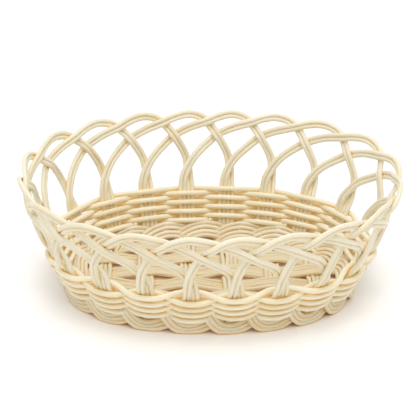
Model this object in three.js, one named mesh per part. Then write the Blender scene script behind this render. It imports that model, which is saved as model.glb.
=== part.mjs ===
// An oval bread basket woven from round cane rods.
//
// Twenty bundles of four rods stand round the wall. Above the side weave each bundle
// opens into pairs: every pair leans over three bundles, braids with its neighbours into
// an open scalloped rim and runs down beside the third bundle. Eight single weavers hold
// the bundles, looped bundles at the bottom make the foot, and flat bundles woven over
// and under each other make the floor.
//
// Millimetres, +Z up, origin on the table under the middle of the basket, +X along it.
// A place on the wall is given by three numbers: "along" counts bundles clockwise seen
// from above, with bundle 0 half a spacing past the middle of the +Y side, "height" is Z
// on the wall's middle surface, and "out" is the distance outside that surface.

import * as THREE from 'three';

// ---- Strands ----
const ROD = 2.7;              // diameter of the rods in the wall, rim, floor and foot
const WEAVER = 2.9;           // diameter of the side weavers
const GAP = 0.3;              // clearance between touching strands
const BUNDLE_RODS = 4;        // rods side by side in a foot loop or a floor bundle
const PAIR_RODS = 2;          // rods side by side in a rim arch

// ---- Wall: an oval that flares upward ----
const BASE_HALF_LENGTH = 89;  // half length of the wall's middle surface on the table
const BASE_HALF_WIDTH = 58.5;
const FLARE = 35;             // how far the wall spreads outward from the table to the rim
const BELLY = 0.4;            // how much sooner it spreads than a straight slope would
const SQUARENESS = 0.04;      // how much the oval is fuller than an ellipse at its shoulders
const BUNDLES = 20;           // upright bundles round the wall

// ---- Heights ----
const WEAVE_BOTTOM = 11.5;    // underside of the lowest weaver, and lower end of the rods
const ROWS = 8;               // weaver rows
const ROW_RISE = 2.85;        // height from row to row
const WEAVE_TOP = WEAVE_BOTTOM + ROWS * ROW_RISE;
const RIM_HEIGHT = 85;        // top of the rim
const ARCH_HEIGHT = RIM_HEIGHT - ROD - WEAVE_TOP;   // rise of an arch's centre line

// ---- Weaving ----
const SHOULDER = 0.22;        // share of a bundle spacing over which a weaver lies flat
const WEAVER_OUT = (ROD + WEAVER) / 2 + 0.55;  // weaver centre from the middle surface
const BRAID_OUT = 1.9;        // arch centre from the middle surface where arches cross
const ARCH_STEPS = 30;        // straight steps along one arch

// ---- Foot ----
const FOOT_LAYER = ROD + GAP + 0.1;            // distance between the foot's layers
const FOOT_LOW = 5.9;         // height of a foot loop's centre line under an upright bundle
const FOOT_SWELL = 0.8;       // how much higher it runs between two upright bundles

// ---- Floor ----
const FLOOR_HALF_LENGTH = 84;
const FLOOR_HALF_WIDTH = 54;
const FLOOR_HEIGHT = 3.3;     // middle of the floor weave
const FLOOR_WAVE = 1.6;       // how far the bundles rise and dip to pass each other
const LONG_BUNDLES = { count: 6, pitch: 17, apart: 3.375 };   // along X
const CROSS_BUNDLES = { count: 6, pitch: 28.5, apart: ROD };  // along Y

// ---- Materials ----
function caneMaterial(color, roughness) {
  return new THREE.MeshStandardMaterial({ color, roughness, metalness: 0 });
}

const WALL_COLOUR = 0xe9dfc4;
const FLOOR_COLOUR = 0xe4d6b2;

// ---- The wall's surface ----

// The wall's outline at one level, clockwise from the middle of the +Y side.
class Oval extends THREE.Curve {
  constructor(halfLength, halfWidth) {
    super();
    this.halfLength = halfLength;
    this.halfWidth = halfWidth;
    this.arcLengthDivisions = 2000;
  }

  getPoint(turn, target = new THREE.Vector3()) {
    const angle = Math.PI / 2 - 2 * Math.PI * turn;
    const fullness = 1 + SQUARENESS * Math.sin(2 * angle) ** 2;
    return target.set(
      this.halfLength * fullness * Math.cos(angle),
      this.halfWidth * fullness * Math.sin(angle),
      0,
    );
  }
}

// How far the wall has spread outward at a height.
function spread(height) {
  const share = height / RIM_HEIGHT;
  return FLARE * share * (1 + BELLY * (1 - share));
}

const middleSpread = spread((WEAVE_BOTTOM + WEAVE_TOP) / 2);
const guide = new Oval(BASE_HALF_LENGTH + middleSpread, BASE_HALF_WIDTH + middleSpread);

// Bundle spacing round the wall at a height.
function spacing(height) {
  const oval = new Oval(BASE_HALF_LENGTH + spread(height), BASE_HALF_WIDTH + spread(height));
  return oval.getLength() / BUNDLES;
}

// Position on the wall and the wall's outward direction there.
function onWall(along, height, out) {
  const turn = THREE.MathUtils.euclideanModulo((along + 0.5) / BUNDLES, 1);
  const tangent = guide.getTangentAt(turn);
  const outward = new THREE.Vector3(-tangent.y, tangent.x, 0);
  const slope = (spread(height + 0.5) - spread(height - 0.5));
  const normal = outward.clone().addScaledVector(new THREE.Vector3(0, 0, 1), -slope).normalize();
  const point = guide.getPointAt(turn);
  point.addScaledVector(outward, spread(height) - middleSpread);
  point.z = height;
  point.addScaledVector(normal, out);
  return { point, normal };
}

// ---- Strands ----

// A path through given places, with the strand's flat side turned to the given normals.
class StrandPath extends THREE.Curve {
  constructor(places) {
    super();
    this.places = places;
  }

  getPoint(share, target = new THREE.Vector3()) {
    const position = share * (this.places.length - 1);
    const index = Math.min(Math.floor(position + 1e-9), this.places.length - 2);
    const from = this.places[index].point;
    const to = this.places[index + 1].point;
    return target.copy(from).lerp(to, position - index);
  }

  getPointAt(share, target) {
    return this.getPoint(share, target);
  }

  computeFrenetFrames() {
    const frames = { tangents: [], normals: [], binormals: [] };
    const last = this.places.length - 1;
    this.places.forEach((place, index) => {
      const before = this.places[Math.max(index - 1, 0)].point;
      const after = this.places[Math.min(index + 1, last)].point;
      const tangent = after.clone().sub(before).normalize();
      const across = place.normal.clone().cross(tangent).normalize();
      frames.tangents.push(tangent);
      frames.normals.push(across);
      frames.binormals.push(tangent.clone().cross(across));
    });
    return frames;
  }
}

// Outline of rods lying side by side as one flat strand, their middles this far apart.
function bandOutline(rods, apart) {
  const half = rods * apart / 2;
  const flat = half - ROD * 0.3;
  const rise = ROD / 2;
  return new THREE.Shape([
    new THREE.Vector2(half, 0),
    new THREE.Vector2(flat, rise),
    new THREE.Vector2(-flat, rise),
    new THREE.Vector2(-half, 0),
    new THREE.Vector2(-flat, -rise),
    new THREE.Vector2(flat, -rise),
  ]);
}

// Outline of one round weaver, with flats where the next rows lie.
function weaverOutline() {
  const corners = [0, 1, 2, 3, 4, 5].map((corner) => (corner + 0.5) * Math.PI / 3);
  const radius = WEAVER / 2;
  return new THREE.Shape(corners.map(
    (angle) => new THREE.Vector2(radius * Math.cos(angle), radius * Math.sin(angle)),
  ));
}

function strand(name, outline, places, material) {
  const geometry = new THREE.ExtrudeGeometry(outline, {
    steps: places.length - 1,
    extrudePath: new StrandPath(places),
    bevelEnabled: false,
  });
  const mesh = new THREE.Mesh(geometry, material);
  mesh.name = name;
  return mesh;
}

function numbered(name, index) {
  return `${name}_${String(index + 1).padStart(2, '0')}`;
}

// ---- Rim arches ----

// Places along one arch: bundles along, share of the arch height, side of the wall
// (-1 inside, 1 outside). The arch passes inside, outside, inside on its way up over
// three older arches, and outside, inside, outside on its way down over three younger ones.
const ARCH_BRAID = [
  [-0.06, 0.12, -1],
  [0.05, 0.27, -1],
  [0.22, 0.42, -0.9],
  [0.46, 0.56, 0],
  [0.75, 0.70, 1],
  [1.10, 0.81, 0],
  [1.48, 0.895, -1],
  [1.78, 0.965, -0.4],
  [2.05, 1.0, 0.2],
  [2.30, 0.97, 0.8],
  [2.48, 0.895, 1],
  [2.62, 0.80, 0],
  [2.75, 0.70, -1],
  [2.90, 0.55, -0.1],
  [3.00, 0.42, 0.9],
  [3.05, 0.27, 1],
  [3.075, 0.12, 1],
];

function archPlaces(index) {
  const pairShift = ROD + GAP / 2;
  const besideBottom = pairShift / spacing(WEAVE_BOTTOM);
  const besideTop = pairShift / spacing(WEAVE_TOP);
  const lastBundle = 3;
  const route = [
    new THREE.Vector3(-besideBottom, WEAVE_BOTTOM, 0),
    new THREE.Vector3(-besideTop, WEAVE_TOP, 0),
    ...ARCH_BRAID.map(([along, share, side]) => new THREE.Vector3(
      along,
      WEAVE_TOP + share * ARCH_HEIGHT,
      side * BRAID_OUT,
    )),
    new THREE.Vector3(lastBundle + besideTop, WEAVE_TOP, 0),
    new THREE.Vector3(lastBundle + besideBottom, WEAVE_BOTTOM, 0),
  ];
  const curve = new THREE.CatmullRomCurve3(route, false, 'centripetal');
  const places = [];
  for (let step = 0; step <= ARCH_STEPS; step += 1) {
    const spot = curve.getPoint(step / ARCH_STEPS);
    places.push(onWall(index + spot.x, spot.y, spot.z));
  }
  return places;
}

// ---- Side weavers ----

// One weaver goes round the wall, inside one bundle and outside the next, and the row
// above does the opposite. Its two ends meet behind a bundle at one end of the oval.
function weaverPlaces(row) {
  const height = WEAVE_BOTTOM + (row + 0.5) * ROW_RISE;
  const start = row % 2 === 0 ? 5 : 14;
  const places = [];
  for (let step = 0; step <= BUNDLES; step += 1) {
    const bundle = start + step;
    const side = step % 2 === 0 ? -WEAVER_OUT : WEAVER_OUT;
    if (step > 0) places.push(onWall(bundle - SHOULDER, height, side));
    if (step < BUNDLES) places.push(onWall(bundle + SHOULDER, height, side));
  }
  const endGap = GAP / spacing(height);
  places.unshift(onWall(start + endGap, height, -WEAVER_OUT));
  places.push(onWall(start - endGap, height, -WEAVER_OUT));
  return places;
}

// ---- Foot ----

// Places along one foot loop: bundles along, and the layer that it runs in (-1 inside,
// 0 middle, 1 outside). It lies inside the wall for one bundle, dips under the next loop,
// comes out below the weave and ends on top, two bundles on.
const FOOT_LAYERS = [
  [0.04, -1],
  [0.25, -1],
  [0.50, -1],
  [0.70, -0.75],
  [1.00, 0],
  [1.25, 0],
  [1.48, 0],
  [1.70, 0.65],
  [1.88, 1],
  [2.10, 1],
  [2.30, 1],
  [2.44, 1],
];

// Strands that reach below the table are pressed flat on it.
function pressOnTable(mesh) {
  const positions = mesh.geometry.attributes.position;
  for (let index = 0; index < positions.count; index += 1) {
    positions.setZ(index, Math.max(positions.getZ(index), 0));
  }
  return mesh;
}

function footPlaces(index) {
  return FOOT_LAYERS.map(([along, layer]) => {
    const height = FOOT_LOW + FOOT_SWELL * Math.sin(Math.PI * along) ** 2;
    return onWall(index + along, height, layer * FOOT_LAYER);
  });
}

// ---- Floor ----

function centredLines({ count, pitch, apart }) {
  const numbers = [...Array(count).keys()];
  const half = BUNDLE_RODS * apart / 2;
  return numbers.map((number) => ({ number, half, at: (number - (count - 1) / 2) * pitch }));
}

// Half length of a floor bundle: its outer corners stay on an ellipse inside the foot.
function reach(line, halfAcross, halfAlong) {
  const edge = Math.abs(line.at) + line.half - ROD / 2;
  return halfAlong * Math.sqrt(1 - (edge / halfAcross) ** 2);
}

// A floor bundle runs flat over or under each bundle that it crosses.
function floorPlaces(line, reached, crossings, firstSide, along) {
  const met = crossings.filter(({ at, half }) => Math.abs(at) - half < reached);
  const sideOf = ({ number }) => (number % 2 === 0 ? firstSide : -firstSide);
  const stops = [[-reached, sideOf(met[0])]];
  met.forEach((crossing) => {
    const shoulder = crossing.half - ROD / 4;
    stops.push([crossing.at - shoulder, sideOf(crossing)]);
    stops.push([crossing.at + shoulder, sideOf(crossing)]);
  });
  const kept = stops.filter(([at], index) => index === 0 || Math.abs(at) < reached - 1);
  kept.push([reached, sideOf(met[met.length - 1])]);
  return kept.map(([at, side]) => {
    const point = new THREE.Vector3(line.at, line.at, FLOOR_HEIGHT + side * FLOOR_WAVE);
    point[along] = at;
    return { point, normal: new THREE.Vector3(0, 0, 1) };
  });
}

// ---- Assembly ----

const basket = new THREE.Group();
const pairOutline = bandOutline(PAIR_RODS, ROD);
const bundleOutline = bandOutline(BUNDLE_RODS, ROD);
const wallCane = () => caneMaterial(WALL_COLOUR, 0.45);
const floorCane = () => caneMaterial(FLOOR_COLOUR, 0.5);

for (let index = 0; index < BUNDLES; index += 1) {
  basket.add(strand(numbered('rim_arch', index), pairOutline, archPlaces(index), wallCane()));
}

for (let row = 0; row < ROWS; row += 1) {
  basket.add(strand(numbered('weaver_row', row), weaverOutline(), weaverPlaces(row), wallCane()));
}

for (let index = 0; index < BUNDLES; index += 1) {
  const loop = strand(numbered('foot_loop', index), bundleOutline, footPlaces(index), wallCane());
  basket.add(pressOnTable(loop));
}

const longLines = centredLines(LONG_BUNDLES);
const crossLines = centredLines(CROSS_BUNDLES);
const longOutline = bandOutline(BUNDLE_RODS, LONG_BUNDLES.apart);

longLines.forEach((line) => {
  const reached = reach(line, FLOOR_HALF_WIDTH, FLOOR_HALF_LENGTH);
  const side = line.number % 2 === 0 ? 1 : -1;
  const places = floorPlaces(line, reached, crossLines, side, 'x');
  basket.add(strand(numbered('floor_long', line.number), longOutline, places, floorCane()));
});

crossLines.forEach((line) => {
  const reached = reach(line, FLOOR_HALF_LENGTH, FLOOR_HALF_WIDTH);
  const side = line.number % 2 === 0 ? -1 : 1;
  const places = floorPlaces(line, reached, longLines, side, 'y');
  basket.add(strand(numbered('floor_cross', line.number), bundleOutline, places, floorCane()));
});

export default basket;
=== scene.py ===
"""A bread basket of round cane: braided rim arches, side weavers, looped foot and plaited floor.

Every rod is a smooth tube with the small unevenness of hand work. The rim's and the weavers'
rods stay within 3 mm of their packed strands; those of the foot and the floor differ more.
The tubes aren't kept apart: most only press together, but those of the foot cut into their
neighbours. A place on the wall is given as "along" (bundles counted clockwise from above,
starting beside the middle of the +Y side), "height" and "out" (the distance outside the
wall's middle surface). Lengths are metres, unless a comment says mm.
"""
import math

import bpy
import numpy as np
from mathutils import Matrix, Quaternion, Vector


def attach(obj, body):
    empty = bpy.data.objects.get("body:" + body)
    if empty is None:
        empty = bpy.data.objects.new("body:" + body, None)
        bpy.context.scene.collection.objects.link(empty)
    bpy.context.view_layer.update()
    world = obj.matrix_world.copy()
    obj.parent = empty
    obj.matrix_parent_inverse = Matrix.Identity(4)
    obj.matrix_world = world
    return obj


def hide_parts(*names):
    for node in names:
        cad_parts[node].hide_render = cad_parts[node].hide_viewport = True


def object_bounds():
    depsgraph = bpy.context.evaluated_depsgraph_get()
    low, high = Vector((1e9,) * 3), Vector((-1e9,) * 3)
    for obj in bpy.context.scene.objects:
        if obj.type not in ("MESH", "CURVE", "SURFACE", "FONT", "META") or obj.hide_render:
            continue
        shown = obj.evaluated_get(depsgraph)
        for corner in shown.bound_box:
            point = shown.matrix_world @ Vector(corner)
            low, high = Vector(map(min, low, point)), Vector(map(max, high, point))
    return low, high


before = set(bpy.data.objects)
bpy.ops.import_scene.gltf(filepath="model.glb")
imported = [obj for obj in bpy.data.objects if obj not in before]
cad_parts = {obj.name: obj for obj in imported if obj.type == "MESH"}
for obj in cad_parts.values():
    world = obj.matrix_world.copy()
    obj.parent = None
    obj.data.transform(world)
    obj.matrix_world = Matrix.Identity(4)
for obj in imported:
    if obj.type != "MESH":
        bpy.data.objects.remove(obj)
cad_low, cad_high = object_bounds()

MM = 0.001

# ---- Rods ----
ROD = 3.1 * MM               # upright and rim rods
ROD_PITCH = 2.82 * MM        # side by side they are pressed into each other a little
WEAVER = 3.6 * MM
FOOT_ROD = 3.05 * MM
FLOOR_ROD = 2.85 * MM
WOBBLE = 0.16 * MM           # how far a hand-laid rod strays from its route
FOOT_WOBBLE = 0.08 * MM
FLOOR_WOBBLE = 0.35 * MM
WOBBLE_WAVE = 35 * MM
WAVE_RANGE = (0.7, 1.5)      # shares of its wave length that a drift mixes
THICKNESS_CHANGE = 0.035     # share by which a rod's thickness varies
THICKNESS_WAVE = 50 * MM
END_TAPER = 0.86             # radius of a rod's end rings, as a share of its own
TUBE_SIDES = 12
RING_SPACING = 1.6 * MM
FEWEST_RINGS = 6
BUNDLE_RODS = 4              # rods in a foot loop or a floor bundle
PAIR_RODS = 2                # rods in a rim arch

# Seed of the first strand of each kind. The next strands count on from it.
ARCH_SEED = 100
WEAVER_SEED = 200
LOOP_SEED = 300
LONG_SEED = 400
CROSS_SEED = 500

# ---- Wall: an oval that flares upward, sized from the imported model's box ----
BUNDLES = sum(name.startswith("rim_arch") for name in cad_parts)
ROWS = sum(name.startswith("weaver_row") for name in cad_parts)
RIM_HEIGHT = 85 * MM
FLARE = 35 * MM              # how far the wall spreads from the table to the rim
BELLY = 0.4                  # how much sooner it spreads than a straight slope would
SQUARENESS = 0.04            # how much the oval is fuller than an ellipse at its shoulders
RIM_EDGE = 2.1 * MM          # from the wall's middle surface to the outside of the rim
BASE_HALF_LENGTH = cad_high[0] - RIM_EDGE - FLARE
BASE_HALF_WIDTH = cad_high[1] - RIM_EDGE - FLARE
WEAVE_BOTTOM = 11.5 * MM
ROW_RISE = 2.85 * MM
WEAVE_TOP = WEAVE_BOTTOM + ROWS * ROW_RISE
RIM_TOP_GAP = 2.8 * MM       # from the top of an arch's route to the rim's height
ARCH_HEIGHT = RIM_HEIGHT - RIM_TOP_GAP - WEAVE_TOP
BRAID_OUT = 1.65 * MM        # distance between an arch and the middle surface where arches cross
WEAVER_OUT = 3.9 * MM        # distance between a weaver and the middle surface at a bundle

# ---- Foot and floor ----
FOOT_LAYER = 2.9 * MM        # distance between the foot's layers
FOOT_LOW = 6.1 * MM          # height of a foot loop's middle line under a bundle
FLOOR_HEIGHT = 3.2 * MM      # middle of the floor weave
FLOOR_WAVE = 1.7 * MM        # how far its bundles rise and dip to pass each other
FLOOR_EASE = 12 * MM         # length of the window that rounds a rod's rises and dips
FLOOR_LEAD = ROD / 3         # how far inside a crossed bundle's edge a rod leaves its level
LONG = {
    "name": "floor_long",
    "axis": 0,               # along X
    "pitch": 17.2 * MM,      # distance between bundles
    "rod_pitch": 3.3 * MM,   # distance between a bundle's rods
    "half_length": 87 * MM,  # the floor's reach along the axis
    "bow": 0.6 * MM,         # how far a bundle bows sideways between crossings
    "first_side": 1,         # 1 where its first bundle starts over, -1 where it starts under
    "seed": LONG_SEED,
}
CROSS = {
    "name": "floor_cross",
    "axis": 1,
    "pitch": 28.5 * MM,
    "rod_pitch": 2.85 * MM,
    "half_length": 57 * MM,
    "bow": 0,
    "first_side": -1,
    "seed": CROSS_SEED,
}


# ---- The wall's surface ----

def oval(half_length, half_width, turn):
    """The wall's outline, clockwise from above, starting in the middle of the +Y side."""
    angle = math.pi / 2 - 2 * math.pi * turn
    fullness = 1 + SQUARENESS * np.sin(2 * angle) ** 2
    return half_length * fullness * np.cos(angle), half_width * fullness * np.sin(angle)


def spread(height):
    """How far the wall has flared outward at a height."""
    share = height / RIM_HEIGHT
    return FLARE * share * (1 + BELLY * (1 - share))


GUIDE_SPREAD = spread((WEAVE_BOTTOM + WEAVE_TOP) / 2)
GUIDE = (BASE_HALF_LENGTH + GUIDE_SPREAD, BASE_HALF_WIDTH + GUIDE_SPREAD)
OUTLINE_POINTS = 4001
TURNS = np.linspace(0, 1, OUTLINE_POINTS)


def outline_lengths(half_length, half_width):
    """Length of the outline from its start to each of TURNS."""
    x, y = oval(half_length, half_width, TURNS)
    return np.concatenate([[0], np.cumsum(np.hypot(np.diff(x), np.diff(y)))])


GUIDE_LENGTHS = outline_lengths(*GUIDE)


def bundle_spacing(height):
    """Distance between neighbouring bundles along the wall at a height."""
    lengths = outline_lengths(BASE_HALF_LENGTH + spread(height), BASE_HALF_WIDTH + spread(height))
    return lengths[-1] / BUNDLES


def on_wall(along, height, out):
    """Points on the wall and the wall's outward normals there, for arrays of places."""
    share = ((np.asarray(along) + 0.5) / BUNDLES) % 1
    turn = np.interp(share * GUIDE_LENGTHS[-1], GUIDE_LENGTHS, TURNS)
    step = 1e-4
    x, y = oval(*GUIDE, turn)
    ahead_x, ahead_y = oval(*GUIDE, turn + step)
    behind_x, behind_y = oval(*GUIDE, turn - step)
    tangent = unit(np.stack([ahead_x - behind_x, ahead_y - behind_y], -1))
    outward = np.stack([-tangent[:, 1], tangent[:, 0]], -1)
    height = np.broadcast_to(height, x.shape)
    slope = (spread(height + MM) - spread(height - MM)) / (2 * MM)
    normal = unit(np.column_stack([outward, -slope]))
    extra = spread(height) - GUIDE_SPREAD
    point = np.column_stack([x + outward[:, 0] * extra, y + outward[:, 1] * extra, height])
    return point + normal * np.broadcast_to(out, x.shape)[:, None], normal


# ---- Curves ----

def unit(vectors):
    return vectors / np.linalg.norm(vectors, axis=-1, keepdims=True)


def path_lengths(path):
    """Length along a path from its start to each of its points."""
    return np.concatenate([[0], np.cumsum(np.linalg.norm(np.diff(path, axis=0), axis=1))])


def smooth_route(stops, count):
    """A smooth curve through the stops (rows of numbers), sampled count times."""
    stops = np.asarray(stops, float)
    padded = np.vstack([2 * stops[0] - stops[1], stops, 2 * stops[-1] - stops[-2]])
    position = np.linspace(0, len(stops) - 1, count)
    index = np.minimum(position.astype(int), len(stops) - 2)
    share = (position - index)[:, None]
    before, start, end, after = (padded[index + shift] for shift in range(4))
    leave = (end - before) / 2
    arrive = (after - start) / 2
    return (
        start + leave * share
        + (3 * (end - start) - 2 * leave - arrive) * share ** 2
        + (2 * (start - end) + leave + arrive) * share ** 3
    )


def resample(path):
    """The same path with points RING_SPACING apart."""
    lengths = path_lengths(path)
    count = max(int(lengths[-1] / RING_SPACING), FEWEST_RINGS)
    wanted = np.linspace(0, lengths[-1], count)
    return np.column_stack([np.interp(wanted, lengths, column) for column in path.T])


def drift(lengths, random, wave):
    """A slow random swing along a rod, seldom past 1 and never past 1.5 either way."""
    phases = random.uniform(0, 2 * math.pi, 3)
    waves = wave * random.uniform(*WAVE_RANGE, 3)
    swings = [np.sin(2 * math.pi * lengths / w + p) for w, p in zip(waves, phases)]
    return sum(swings) / 2


def side_by_side(points, normals, rods, pitch):
    """The rods' own centre lines, for rods lying side by side across a strand's route."""
    across = unit(np.cross(normals, unit(np.gradient(points, axis=0))))
    offsets = (np.arange(rods) - (rods - 1) / 2) * pitch
    return [points + across * offset for offset in offsets]


# ---- Tubes ----

def ring_axes(path):
    """Two directions across the path at each point, carried along it without twist."""
    tangent = unit(np.gradient(path, axis=0))
    skew = 0.31              # makes a helper direction that isn't the path's own
    side = unit(np.cross(tangent, np.roll(tangent[0], 1) + skew))
    for index in range(1, len(path)):
        carried = side[index - 1] - tangent[index] * (side[index - 1] @ tangent[index])
        side[index] = carried / np.linalg.norm(carried)
    return side, np.cross(tangent, side)


def tube_faces(start, rings):
    """Quads between a tube's rings and a fan on each end, for points numbered from start."""
    faces = []
    last_ring = start + (rings - 1) * TUBE_SIDES
    first_centre = start + rings * TUBE_SIDES
    for here in range(start, last_ring, TUBE_SIDES):
        for corner in range(TUBE_SIDES):
            following = (corner + 1) % TUBE_SIDES
            above = here + TUBE_SIDES
            faces.append((here + corner, here + following, above + following, above + corner))
    for corner in range(TUBE_SIDES):
        following = (corner + 1) % TUBE_SIDES
        faces.append((first_centre, start + following, start + corner))
        faces.append((first_centre + 1, last_ring + corner, last_ring + following))
    return faces


class TubeSet:
    """The rods of one strand, gathered into one mesh.

    Each point carries "grain", its place along and across its own rod, and "tone", one
    random number for each rod. The material reads both.
    """

    def __init__(self, name, seed):
        self.name = name
        self.random = np.random.default_rng(seed)
        self.points = []
        self.grain = []
        self.tone = []
        self.faces = []
        self.count = 0

    def add_rod(self, path, diameter, wobble=WOBBLE):
        """Adds a closed tube along the path, resting on the table where the path is too low."""
        path = resample(path)
        rings = len(path)
        side, rise = ring_axes(path)
        lengths = path_lengths(path)
        path = path + wobble * side * drift(lengths, self.random, WOBBLE_WAVE)[:, None]
        path = path + wobble * rise * drift(lengths, self.random, WOBBLE_WAVE)[:, None]
        radius = diameter / 2 * (1 + THICKNESS_CHANGE * drift(lengths, self.random, THICKNESS_WAVE))
        radius[[0, -1]] *= END_TAPER
        path[:, 2] = np.maximum(path[:, 2], radius)
        angles = np.linspace(0, 2 * math.pi, TUBE_SIDES, endpoint=False)
        ring = np.stack([np.cos(angles), np.sin(angles)], -1)
        outward = ring[None, :, :1] * side[:, None] + ring[None, :, 1:] * rise[:, None]
        shell = path[:, None] + outward * radius[:, None, None]
        self.points += [shell.reshape(-1, 3), path[[0, -1]]]
        self.faces += tube_faces(self.count, rings)
        self.add_grain(lengths, diameter / 2 * ring)
        self.count += rings * TUBE_SIDES + 2

    def add_grain(self, lengths, ring):
        """Gives the last rod its grain, shifted so that no two rods match, and its tone."""
        longest_shift = 5
        shift = self.random.uniform(0, longest_shift)
        along = np.broadcast_to(lengths[:, None, None], (len(lengths), TUBE_SIDES, 1))
        across = np.broadcast_to(ring[None], (len(lengths), TUBE_SIDES, 2))
        grain = np.concatenate([along, across], axis=-1) + shift
        self.grain += [grain.reshape(-1, 3), np.full((2, 3), shift)]
        tone = self.random.uniform(0, 1)
        self.tone.append(np.full(len(lengths) * TUBE_SIDES + 2, tone))

    def build(self, material):
        """The finished mesh as an object in the scene."""
        mesh = bpy.data.meshes.new(self.name)
        mesh.from_pydata(np.vstack(self.points).tolist(), [], self.faces)
        grain = mesh.attributes.new("grain", "FLOAT_VECTOR", "POINT")
        grain.data.foreach_set("vector", np.vstack(self.grain).astype(np.float32).ravel())
        tone = mesh.attributes.new("tone", "FLOAT", "POINT")
        tone.data.foreach_set("value", np.concatenate(self.tone).astype(np.float32))
        mesh.polygons.foreach_set("use_smooth", [True] * len(mesh.polygons))
        mesh.materials.append(material)
        mesh.update()
        piece = bpy.data.objects.new(self.name, mesh)
        bpy.context.scene.collection.objects.link(piece)
        return piece


# ---- Cane ----

FIBRE_SCALE = (30, 2600, 2600)   # features in a metre, along a rod and twice across it
FIBRE_DETAIL = 3
DRIFT_SCALE = (16, 60, 60)
DRIFT_DETAIL = 1
TONE_SHARE = 0.45            # how much of the slow colour comes from the rod's own tone
FIBRE_SHARE = 0.2            # how much of the colour comes from the fibres
DARK_BELOW = 0.25            # blend values where the colour is fully dark or fully light
LIGHT_ABOVE = 0.75
ROUGHNESS_BELOW = 0.06       # how far the roughness goes each way from the material's own
ROUGHNESS_ABOVE = 0.10
PAINTED_SHADE_REACH = 9 * MM       # how near other rods have to be for painted shade on the cane
FULL_PAINTED_SHADE = 0.1           # share of open sky at a point
NO_PAINTED_SHADE = 0.75
AO_SAMPLES = 8
RELIEF_STRENGTH = 0.25
RELIEF_DEPTH = 0.05 * MM
SCATTER_SHARE = 0.6          # light that enters the cane and comes out beside where it went in
SCATTER_COLOUR = (1.0, 0.85, 0.6)
SCATTER_REACH = 1.8 * MM


def grain_noise(tree, grain, scale, detail):
    """Noise on the rods' own grain, with one scale along a rod and two across it."""
    mapping = tree.nodes.new("ShaderNodeMapping")
    mapping.inputs["Scale"].default_value = scale
    tree.links.new(grain, mapping.inputs["Vector"])
    noise = tree.nodes.new("ShaderNodeTexNoise")
    noise.inputs["Scale"].default_value = 1
    noise.inputs["Detail"].default_value = detail
    tree.links.new(mapping.outputs["Vector"], noise.inputs["Vector"])
    return noise.outputs["Fac"]


def attribute(tree, name):
    node = tree.nodes.new("ShaderNodeAttribute")
    node.attribute_name = name
    return node.outputs


def blended(tree, first, second, weight):
    mix = tree.nodes.new("ShaderNodeMix")
    mix.data_type = "FLOAT"
    mix.inputs["Factor"].default_value = weight
    tree.links.new(first, mix.inputs["A"])
    tree.links.new(second, mix.inputs["B"])
    return mix.outputs["Result"]


def ramp_between(tree, value, first, second):
    """A colour that goes from one (position, colour) to another as the value rises."""
    ramp = tree.nodes.new("ShaderNodeValToRGB")
    for element, (position, colour) in zip(ramp.color_ramp.elements, (first, second)):
        element.position = position
        element.color = (*colour, 1)
    tree.links.new(value, ramp.inputs["Fac"])
    return ramp.outputs["Color"]


def with_painted_crevice_shade(tree, colour, painted_shade_colour):
    """The colour, turning into a painted shade colour where other rods are close."""
    occlusion = tree.nodes.new("ShaderNodeAmbientOcclusion")
    occlusion.samples = AO_SAMPLES
    occlusion.inputs["Distance"].default_value = PAINTED_SHADE_REACH
    openness = tree.nodes.new("ShaderNodeMapRange")
    openness.inputs["From Min"].default_value = FULL_PAINTED_SHADE
    openness.inputs["From Max"].default_value = NO_PAINTED_SHADE
    tree.links.new(occlusion.outputs["AO"], openness.inputs["Value"])
    shade_painted_colour = tree.nodes.new("ShaderNodeMix")
    shade_painted_colour.data_type = "RGBA"
    shade_painted_colour.inputs["A"].default_value = (*painted_shade_colour, 1)
    tree.links.new(openness.outputs["Result"], shade_painted_colour.inputs["Factor"])
    tree.links.new(colour, shade_painted_colour.inputs["B"])
    return shade_painted_colour.outputs["Result"]


def add_sheen(tree, shader, blend, fibres, roughness):
    """Satin roughness that changes with the colour, and a fine relief from the fibres."""
    rough = tree.nodes.new("ShaderNodeMapRange")
    rough.inputs["To Min"].default_value = roughness - ROUGHNESS_BELOW
    rough.inputs["To Max"].default_value = roughness + ROUGHNESS_ABOVE
    tree.links.new(blend, rough.inputs["Value"])
    tree.links.new(rough.outputs["Result"], shader.inputs["Roughness"])
    bump = tree.nodes.new("ShaderNodeBump")
    bump.inputs["Strength"].default_value = RELIEF_STRENGTH
    bump.inputs["Distance"].default_value = RELIEF_DEPTH
    tree.links.new(fibres, bump.inputs["Height"])
    tree.links.new(bump.outputs["Normal"], shader.inputs["Normal"])


def cane_material(name, light, dark, painted_shade_colour, roughness):
    """Peeled cane: fine long fibres, slow colour drift along each rod, satin sheen."""
    material = bpy.data.materials.new(name)
    material.use_nodes = True
    tree = material.node_tree
    shader = tree.nodes["Principled BSDF"]
    grain = attribute(tree, "grain")["Vector"]
    tone = attribute(tree, "tone")["Fac"]
    fibres = grain_noise(tree, grain, FIBRE_SCALE, FIBRE_DETAIL)
    drifting = grain_noise(tree, grain, DRIFT_SCALE, DRIFT_DETAIL)
    slow = blended(tree, drifting, tone, TONE_SHARE)
    blend = blended(tree, slow, fibres, FIBRE_SHARE)
    colour = ramp_between(tree, blend, (DARK_BELOW, dark), (LIGHT_ABOVE, light))
    # Painted shade: a warm golden tone where other rods are close, standing in for shade and bounce
    # light in the crevices.
    shade_painted_colour = with_painted_crevice_shade(tree, colour, painted_shade_colour)
    tree.links.new(shade_painted_colour, shader.inputs["Base Color"])
    add_sheen(tree, shader, blend, fibres, roughness)
    shader.inputs["Subsurface Weight"].default_value = SCATTER_SHARE
    shader.inputs["Subsurface Radius"].default_value = SCATTER_COLOUR
    shader.inputs["Subsurface Scale"].default_value = SCATTER_REACH
    return material
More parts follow.
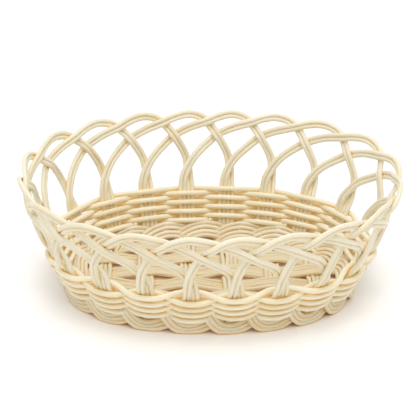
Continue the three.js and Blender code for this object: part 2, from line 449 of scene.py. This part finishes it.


# Light and dark tone of the rods, the painted golden shade that the cane gets where rods are close,
# roughness.
MATERIALS = {
    "rim_cane": cane_material(
        "rim_cane", (0.72, 0.67, 0.53), (0.66, 0.59, 0.41), (0.92, 0.72, 0.36), 0.44),
    "weaver_cane": cane_material(
        "weaver_cane", (0.77, 0.71, 0.54), (0.71, 0.62, 0.42), (0.94, 0.68, 0.26), 0.44),
    "foot_cane": cane_material(
        "foot_cane", (0.71, 0.63, 0.47), (0.64, 0.54, 0.35), (0.88, 0.62, 0.24), 0.38),
    # The floor is the same cane as the wall. Its darker tones are painted shade.
    "floor_cane": cane_material(
        "floor_cane", (0.64, 0.57, 0.41), (0.56, 0.47, 0.29), (0.90, 0.64, 0.25), 0.42),
}


def numbered(name, index):
    return f"{name}_{index + 1:02d}"


def place(tubes, node, slot):
    """Builds a strand's rods and lets them stand for their CAD node."""
    piece = tubes.build(MATERIALS[slot])
    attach(piece, "root")
    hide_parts(node)


# ---- Rim arches ----

# Bundles along, share of the arch height, side of the wall (-1 inside, 1 outside).
ARCH_BRAID = [
    (-0.06, 0.12, -1), (0.05, 0.27, -1), (0.22, 0.42, -0.9), (0.46, 0.56, 0),
    (0.75, 0.70, 1), (1.10, 0.81, 0), (1.48, 0.895, -1), (1.78, 0.965, -0.4),
    (2.05, 1.0, 0.2), (2.30, 0.97, 0.8), (2.48, 0.895, 1), (2.62, 0.80, 0),
    (2.75, 0.70, -1), (2.90, 0.55, -0.1), (3.00, 0.42, 0.9), (3.05, 0.27, 1),
    (3.075, 0.12, 1),
]
ARCH_POINTS = 240
ARCH_SPAN = 3                # bundles between an arch's two legs
LEG_TOP = WEAVE_TOP - 4 * MM    # where a leg starts to leave its bundle
LEG_END = 9 * MM             # lower end of the upright rods, behind the foot


def make_arch(index):
    beside_top = ROD_PITCH / bundle_spacing(WEAVE_TOP)
    beside_end = ROD_PITCH / bundle_spacing(LEG_END)
    stops = [(-beside_end, LEG_END, 0), (-beside_top, LEG_TOP, 0)]
    stops += [
        (along, WEAVE_TOP + share * ARCH_HEIGHT, side * BRAID_OUT)
        for along, share, side in ARCH_BRAID
    ]
    stops += [(ARCH_SPAN + beside_top, LEG_TOP, 0), (ARCH_SPAN + beside_end, LEG_END, 0)]
    route = smooth_route(stops, ARCH_POINTS)
    points, normals = on_wall(index + route[:, 0], route[:, 1], route[:, 2])
    node = numbered("rim_arch", index)
    tubes = TubeSet("rods_" + node, ARCH_SEED + index)
    for path in side_by_side(points, normals, PAIR_RODS, ROD_PITCH):
        tubes.add_rod(path, ROD)
    place(tubes, node, "rim_cane")


# ---- Side weavers ----

EVEN_ROW_START = 5           # bundle where a row's two ends meet, inside the wall
ODD_ROW_START = 14           # an odd number of bundles on, so that the rows alternate
WEAVER_END_GAP = 0.02        # bundles
WEAVER_STEPS = 12            # points in each bundle of a weaver's route
FLATTENING = 0.06            # how much flatter than a cosine a weaver passes a bundle


def weave_side(along):
    """Which side a weaver is on, 1 outside and -1 inside, counted from its inside start."""
    swing = np.cos(math.pi * along)
    return -(swing - FLATTENING * np.cos(3 * math.pi * along)) / (1 - FLATTENING)


def make_weaver(row):
    height = WEAVE_BOTTOM + (row + 0.5) * ROW_RISE
    start = EVEN_ROW_START if row % 2 == 0 else ODD_ROW_START
    first = start + WEAVER_END_GAP
    last = start + BUNDLES - WEAVER_END_GAP
    along = np.linspace(first, last, BUNDLES * WEAVER_STEPS)
    points, _ = on_wall(along, height, WEAVER_OUT * weave_side(along - start))
    node = numbered("weaver_row", row)
    tubes = TubeSet("rod_" + node, WEAVER_SEED + row)
    tubes.add_rod(points, WEAVER)
    place(tubes, node, "weaver_cane")


# ---- Foot loops ----

# Bundles along, mm above FOOT_LOW, and layer (-1 inside the wall, 1 outside). A loop's inner
# rods lie inside the wall for one bundle. Its outer rods come out below the weave and rise.
# They cut into the next loops, the lowest weavers and the floor's ends.
INNER_LOOP = [
    (-0.30, -6.0, -0.9), (-0.14, -3.2, -1.1), (0.08, -0.6, -1.1), (0.30, 0.9, -1.05),
    (0.50, 1.3, -1), (0.72, 0.7, -0.8), (0.95, -0.9, -0.35), (1.12, -3.0, -0.1),
    (1.26, -5.5, 0),
]
OUTER_LOOP = [
    (1.34, 2.0, -0.4), (1.50, 1.4, 0.0), (1.74, 0.0, 0.85), (2.0, -0.9, 1.55),
    (2.22, -0.5, 1.55), (2.38, 1.3, 1.2), (2.50, 4.8, 0.85), (2.60, 9.4, 0.2),
]
# Where each of a loop's rods lies from the loop's middle line: mm further out, mm higher.
INNER_STACK = [(2.6, 3.5), (0.6, 1.3), (-1.7, -1.0), (-4.2, -2.9)]
OUTER_STACK = [(-3.0, -0.6), (-0.3, 2.8), (0.1, 0.0), (0.5, -2.8)]
LOOP_POINTS = 90


def stacked(points, normals, stack):
    """The rods' own centre lines, for rods stacked up the side of a loop's middle line."""
    outward = unit(normals * (1, 1, 0))
    upward = unit(np.cross(unit(np.gradient(points, axis=0)), outward))
    return [points + outward * out * MM + upward * up * MM for out, up in stack]


def make_foot_loop(index):
    node = numbered("foot_loop", index)
    tubes = TubeSet("rods_" + node, LOOP_SEED + index)
    for stops, stack in ((INNER_LOOP, INNER_STACK), (OUTER_LOOP, OUTER_STACK)):
        route = smooth_route(stops, LOOP_POINTS)
        height = FOOT_LOW + route[:, 1] * MM
        points, normals = on_wall(index + route[:, 0], height, route[:, 2] * FOOT_LAYER)
        for path in stacked(points, normals, stack):
            tubes.add_rod(path, FOOT_ROD, FOOT_WOBBLE)
    place(tubes, node, "foot_cane")


# ---- Floor ----

FLOOR_POINTS = 160
FLOOR_HEIGHT_POINTS = 800


def floor_lines(kind):
    """Number of each bundle of one kind, and its place across the floor."""
    count = sum(name.startswith(kind["name"]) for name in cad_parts)
    return [(number, (number - (count - 1) / 2) * kind["pitch"]) for number in range(count)]


def floor_heights(distance, crossed, first_side):
    """Height of a floor rod that passes over and under the bundles that it crosses."""
    shoulder = BUNDLE_RODS * crossed["rod_pitch"] / 2 - FLOOR_LEAD
    stops = []
    sides = []
    for number, at in floor_lines(crossed):
        side = first_side if number % 2 == 0 else -first_side
        stops += [at - shoulder, at + shoulder]
        sides += [side, side]
    margin = 20 * MM
    fine = np.linspace(distance[0] - margin, distance[-1] + margin, FLOOR_HEIGHT_POINTS)
    levels = np.interp(fine, stops, sides)
    kernel = np.hanning(int(FLOOR_EASE / (fine[1] - fine[0])))
    padded = np.pad(levels, len(kernel), mode="edge")
    eased = np.convolve(padded, kernel / kernel.sum(), "same")[len(kernel):-len(kernel)]
    return FLOOR_HEIGHT + FLOOR_WAVE * np.interp(distance, fine, eased)


def floor_path(kind, crossed, offset, side):
    """One rod's route: straight but for its bow, ending on the oval under the foot's loops."""
    reach = kind["half_length"] * math.sqrt(1 - (offset / crossed["half_length"]) ** 2)
    distance = np.linspace(-reach, reach, FLOOR_POINTS)
    bow = side * kind["bow"] * np.cos(math.pi * distance / crossed["pitch"])
    axis = kind["axis"]
    path = np.zeros((len(distance), 3))
    path[:, axis] = distance
    path[:, 1 - axis] = offset + bow
    path[:, 2] = floor_heights(distance, crossed, side)
    return path


def make_floor(kind, crossed):
    """The bundles of one kind, each of rods side by side, woven through the crossed ones."""
    for number, at in floor_lines(kind):
        side = kind["first_side"] if number % 2 == 0 else -kind["first_side"]
        node = numbered(kind["name"], number)
        tubes = TubeSet("rods_" + node, kind["seed"] + number)
        for rod in range(BUNDLE_RODS):
            offset = at + (rod - (BUNDLE_RODS - 1) / 2) * kind["rod_pitch"]
            tubes.add_rod(floor_path(kind, crossed, offset, side), FLOOR_ROD, FLOOR_WOBBLE)
        place(tubes, node, "floor_cane")


for bundle in range(BUNDLES):
    make_arch(bundle)
    make_foot_loop(bundle)
for weaver in range(ROWS):
    make_weaver(weaver)
make_floor(LONG, CROSS)
make_floor(CROSS, LONG)


# ---- Table, light and camera ----

TABLE_HALF = 6
TABLE_ROUGHNESS = 0.7
TABLE_COLOUR = (0.92, 0.905, 0.89)
PAINTED_SHADOW_COLOUR = (0.80, 0.47, 0.19)    # painted shadow and warm bounce light on the table under the cane
PAINTED_SHADOW_REACH = 8 * MM
FULL_PAINTED_SHADOW = 0.1          # share of open sky at a point
NO_PAINTED_SHADOW = 0.6
WORLD_STRENGTH = 0.92
SOFTBOX_SIZE = 1.2
VIEW_GAMMA = 1.1


def make_table():
    signs = ((-1, -1), (1, -1), (1, 1), (-1, 1))
    corners = [(x * TABLE_HALF, y * TABLE_HALF, 0) for x, y in signs]
    mesh = bpy.data.meshes.new("table")
    mesh.from_pydata(corners, [], [(0, 1, 2, 3)])
    material = bpy.data.materials.new("table")
    material.use_nodes = True
    tree = material.node_tree
    shader = tree.nodes["Principled BSDF"]
    shader.inputs["Roughness"].default_value = TABLE_ROUGHNESS
    # Painted shadow: the table turns warm brown where the cane is close above it.
    shadow_occlusion = tree.nodes.new("ShaderNodeAmbientOcclusion")
    shadow_occlusion.samples = AO_SAMPLES
    shadow_occlusion.inputs["Distance"].default_value = PAINTED_SHADOW_REACH
    colour = ramp_between(
        tree, shadow_occlusion.outputs["AO"], (FULL_PAINTED_SHADOW, PAINTED_SHADOW_COLOUR), (NO_PAINTED_SHADOW, TABLE_COLOUR))
    tree.links.new(colour, shader.inputs["Base Color"])
    mesh.materials.append(material)
    table = bpy.data.objects.new("table", mesh)
    bpy.context.scene.collection.objects.link(table)


def area_light(name, location, power):
    """A round softbox that faces the basket."""
    light = bpy.data.lights.new(name, "AREA")
    light.shape = "DISK"
    light.size = SOFTBOX_SIZE
    light.energy = power
    lamp = bpy.data.objects.new(name, light)
    lamp.location = location
    lamp.rotation_euler = (-Vector(location)).to_track_quat("-Z", "Y").to_euler()
    bpy.context.scene.collection.objects.link(lamp)


def make_light():
    world = bpy.data.worlds.new("studio")
    bpy.context.scene.world = world
    world.use_nodes = True
    background = world.node_tree.nodes["Background"]
    background.inputs["Color"].default_value = (1, 1, 1, 1)
    background.inputs["Strength"].default_value = WORLD_STRENGTH
    area_light("softbox_above", (0, 0.1, 1.3), 3.5)
    area_light("softbox_front", (0, -0.5, 1.2), 6.5)
    bpy.context.scene.view_settings.view_transform = "Standard"
    bpy.context.scene.view_settings.gamma = VIEW_GAMMA


CAMERA_ELEVATION = math.radians(28.3)
CAMERA_TURN = math.radians(2.2)        # how far it stands to the left of straight ahead
CAMERA_ROLL = math.radians(0.95)
CAMERA_DISTANCE = 1.15
CAMERA_TARGET = Vector((0, 0, 0.040))
CAMERA_LENS = 148.7
CAMERA_SHIFT = (0, 0.0475)


def make_camera():
    data = bpy.data.cameras.new("camera")
    data.lens = CAMERA_LENS
    data.shift_x, data.shift_y = CAMERA_SHIFT
    camera = bpy.data.objects.new("camera", data)
    looking = Vector((
        math.sin(CAMERA_TURN) * math.cos(CAMERA_ELEVATION),
        math.cos(CAMERA_TURN) * math.cos(CAMERA_ELEVATION),
        -math.sin(CAMERA_ELEVATION),
    ))
    camera.location = CAMERA_TARGET - looking * CAMERA_DISTANCE
    upright = looking.to_track_quat("-Z", "Y")
    camera.rotation_euler = (upright @ Quaternion((0, 0, 1), CAMERA_ROLL)).to_euler()
    bpy.context.scene.collection.objects.link(camera)
    bpy.context.scene.camera = camera


make_table()
make_light()
make_camera()
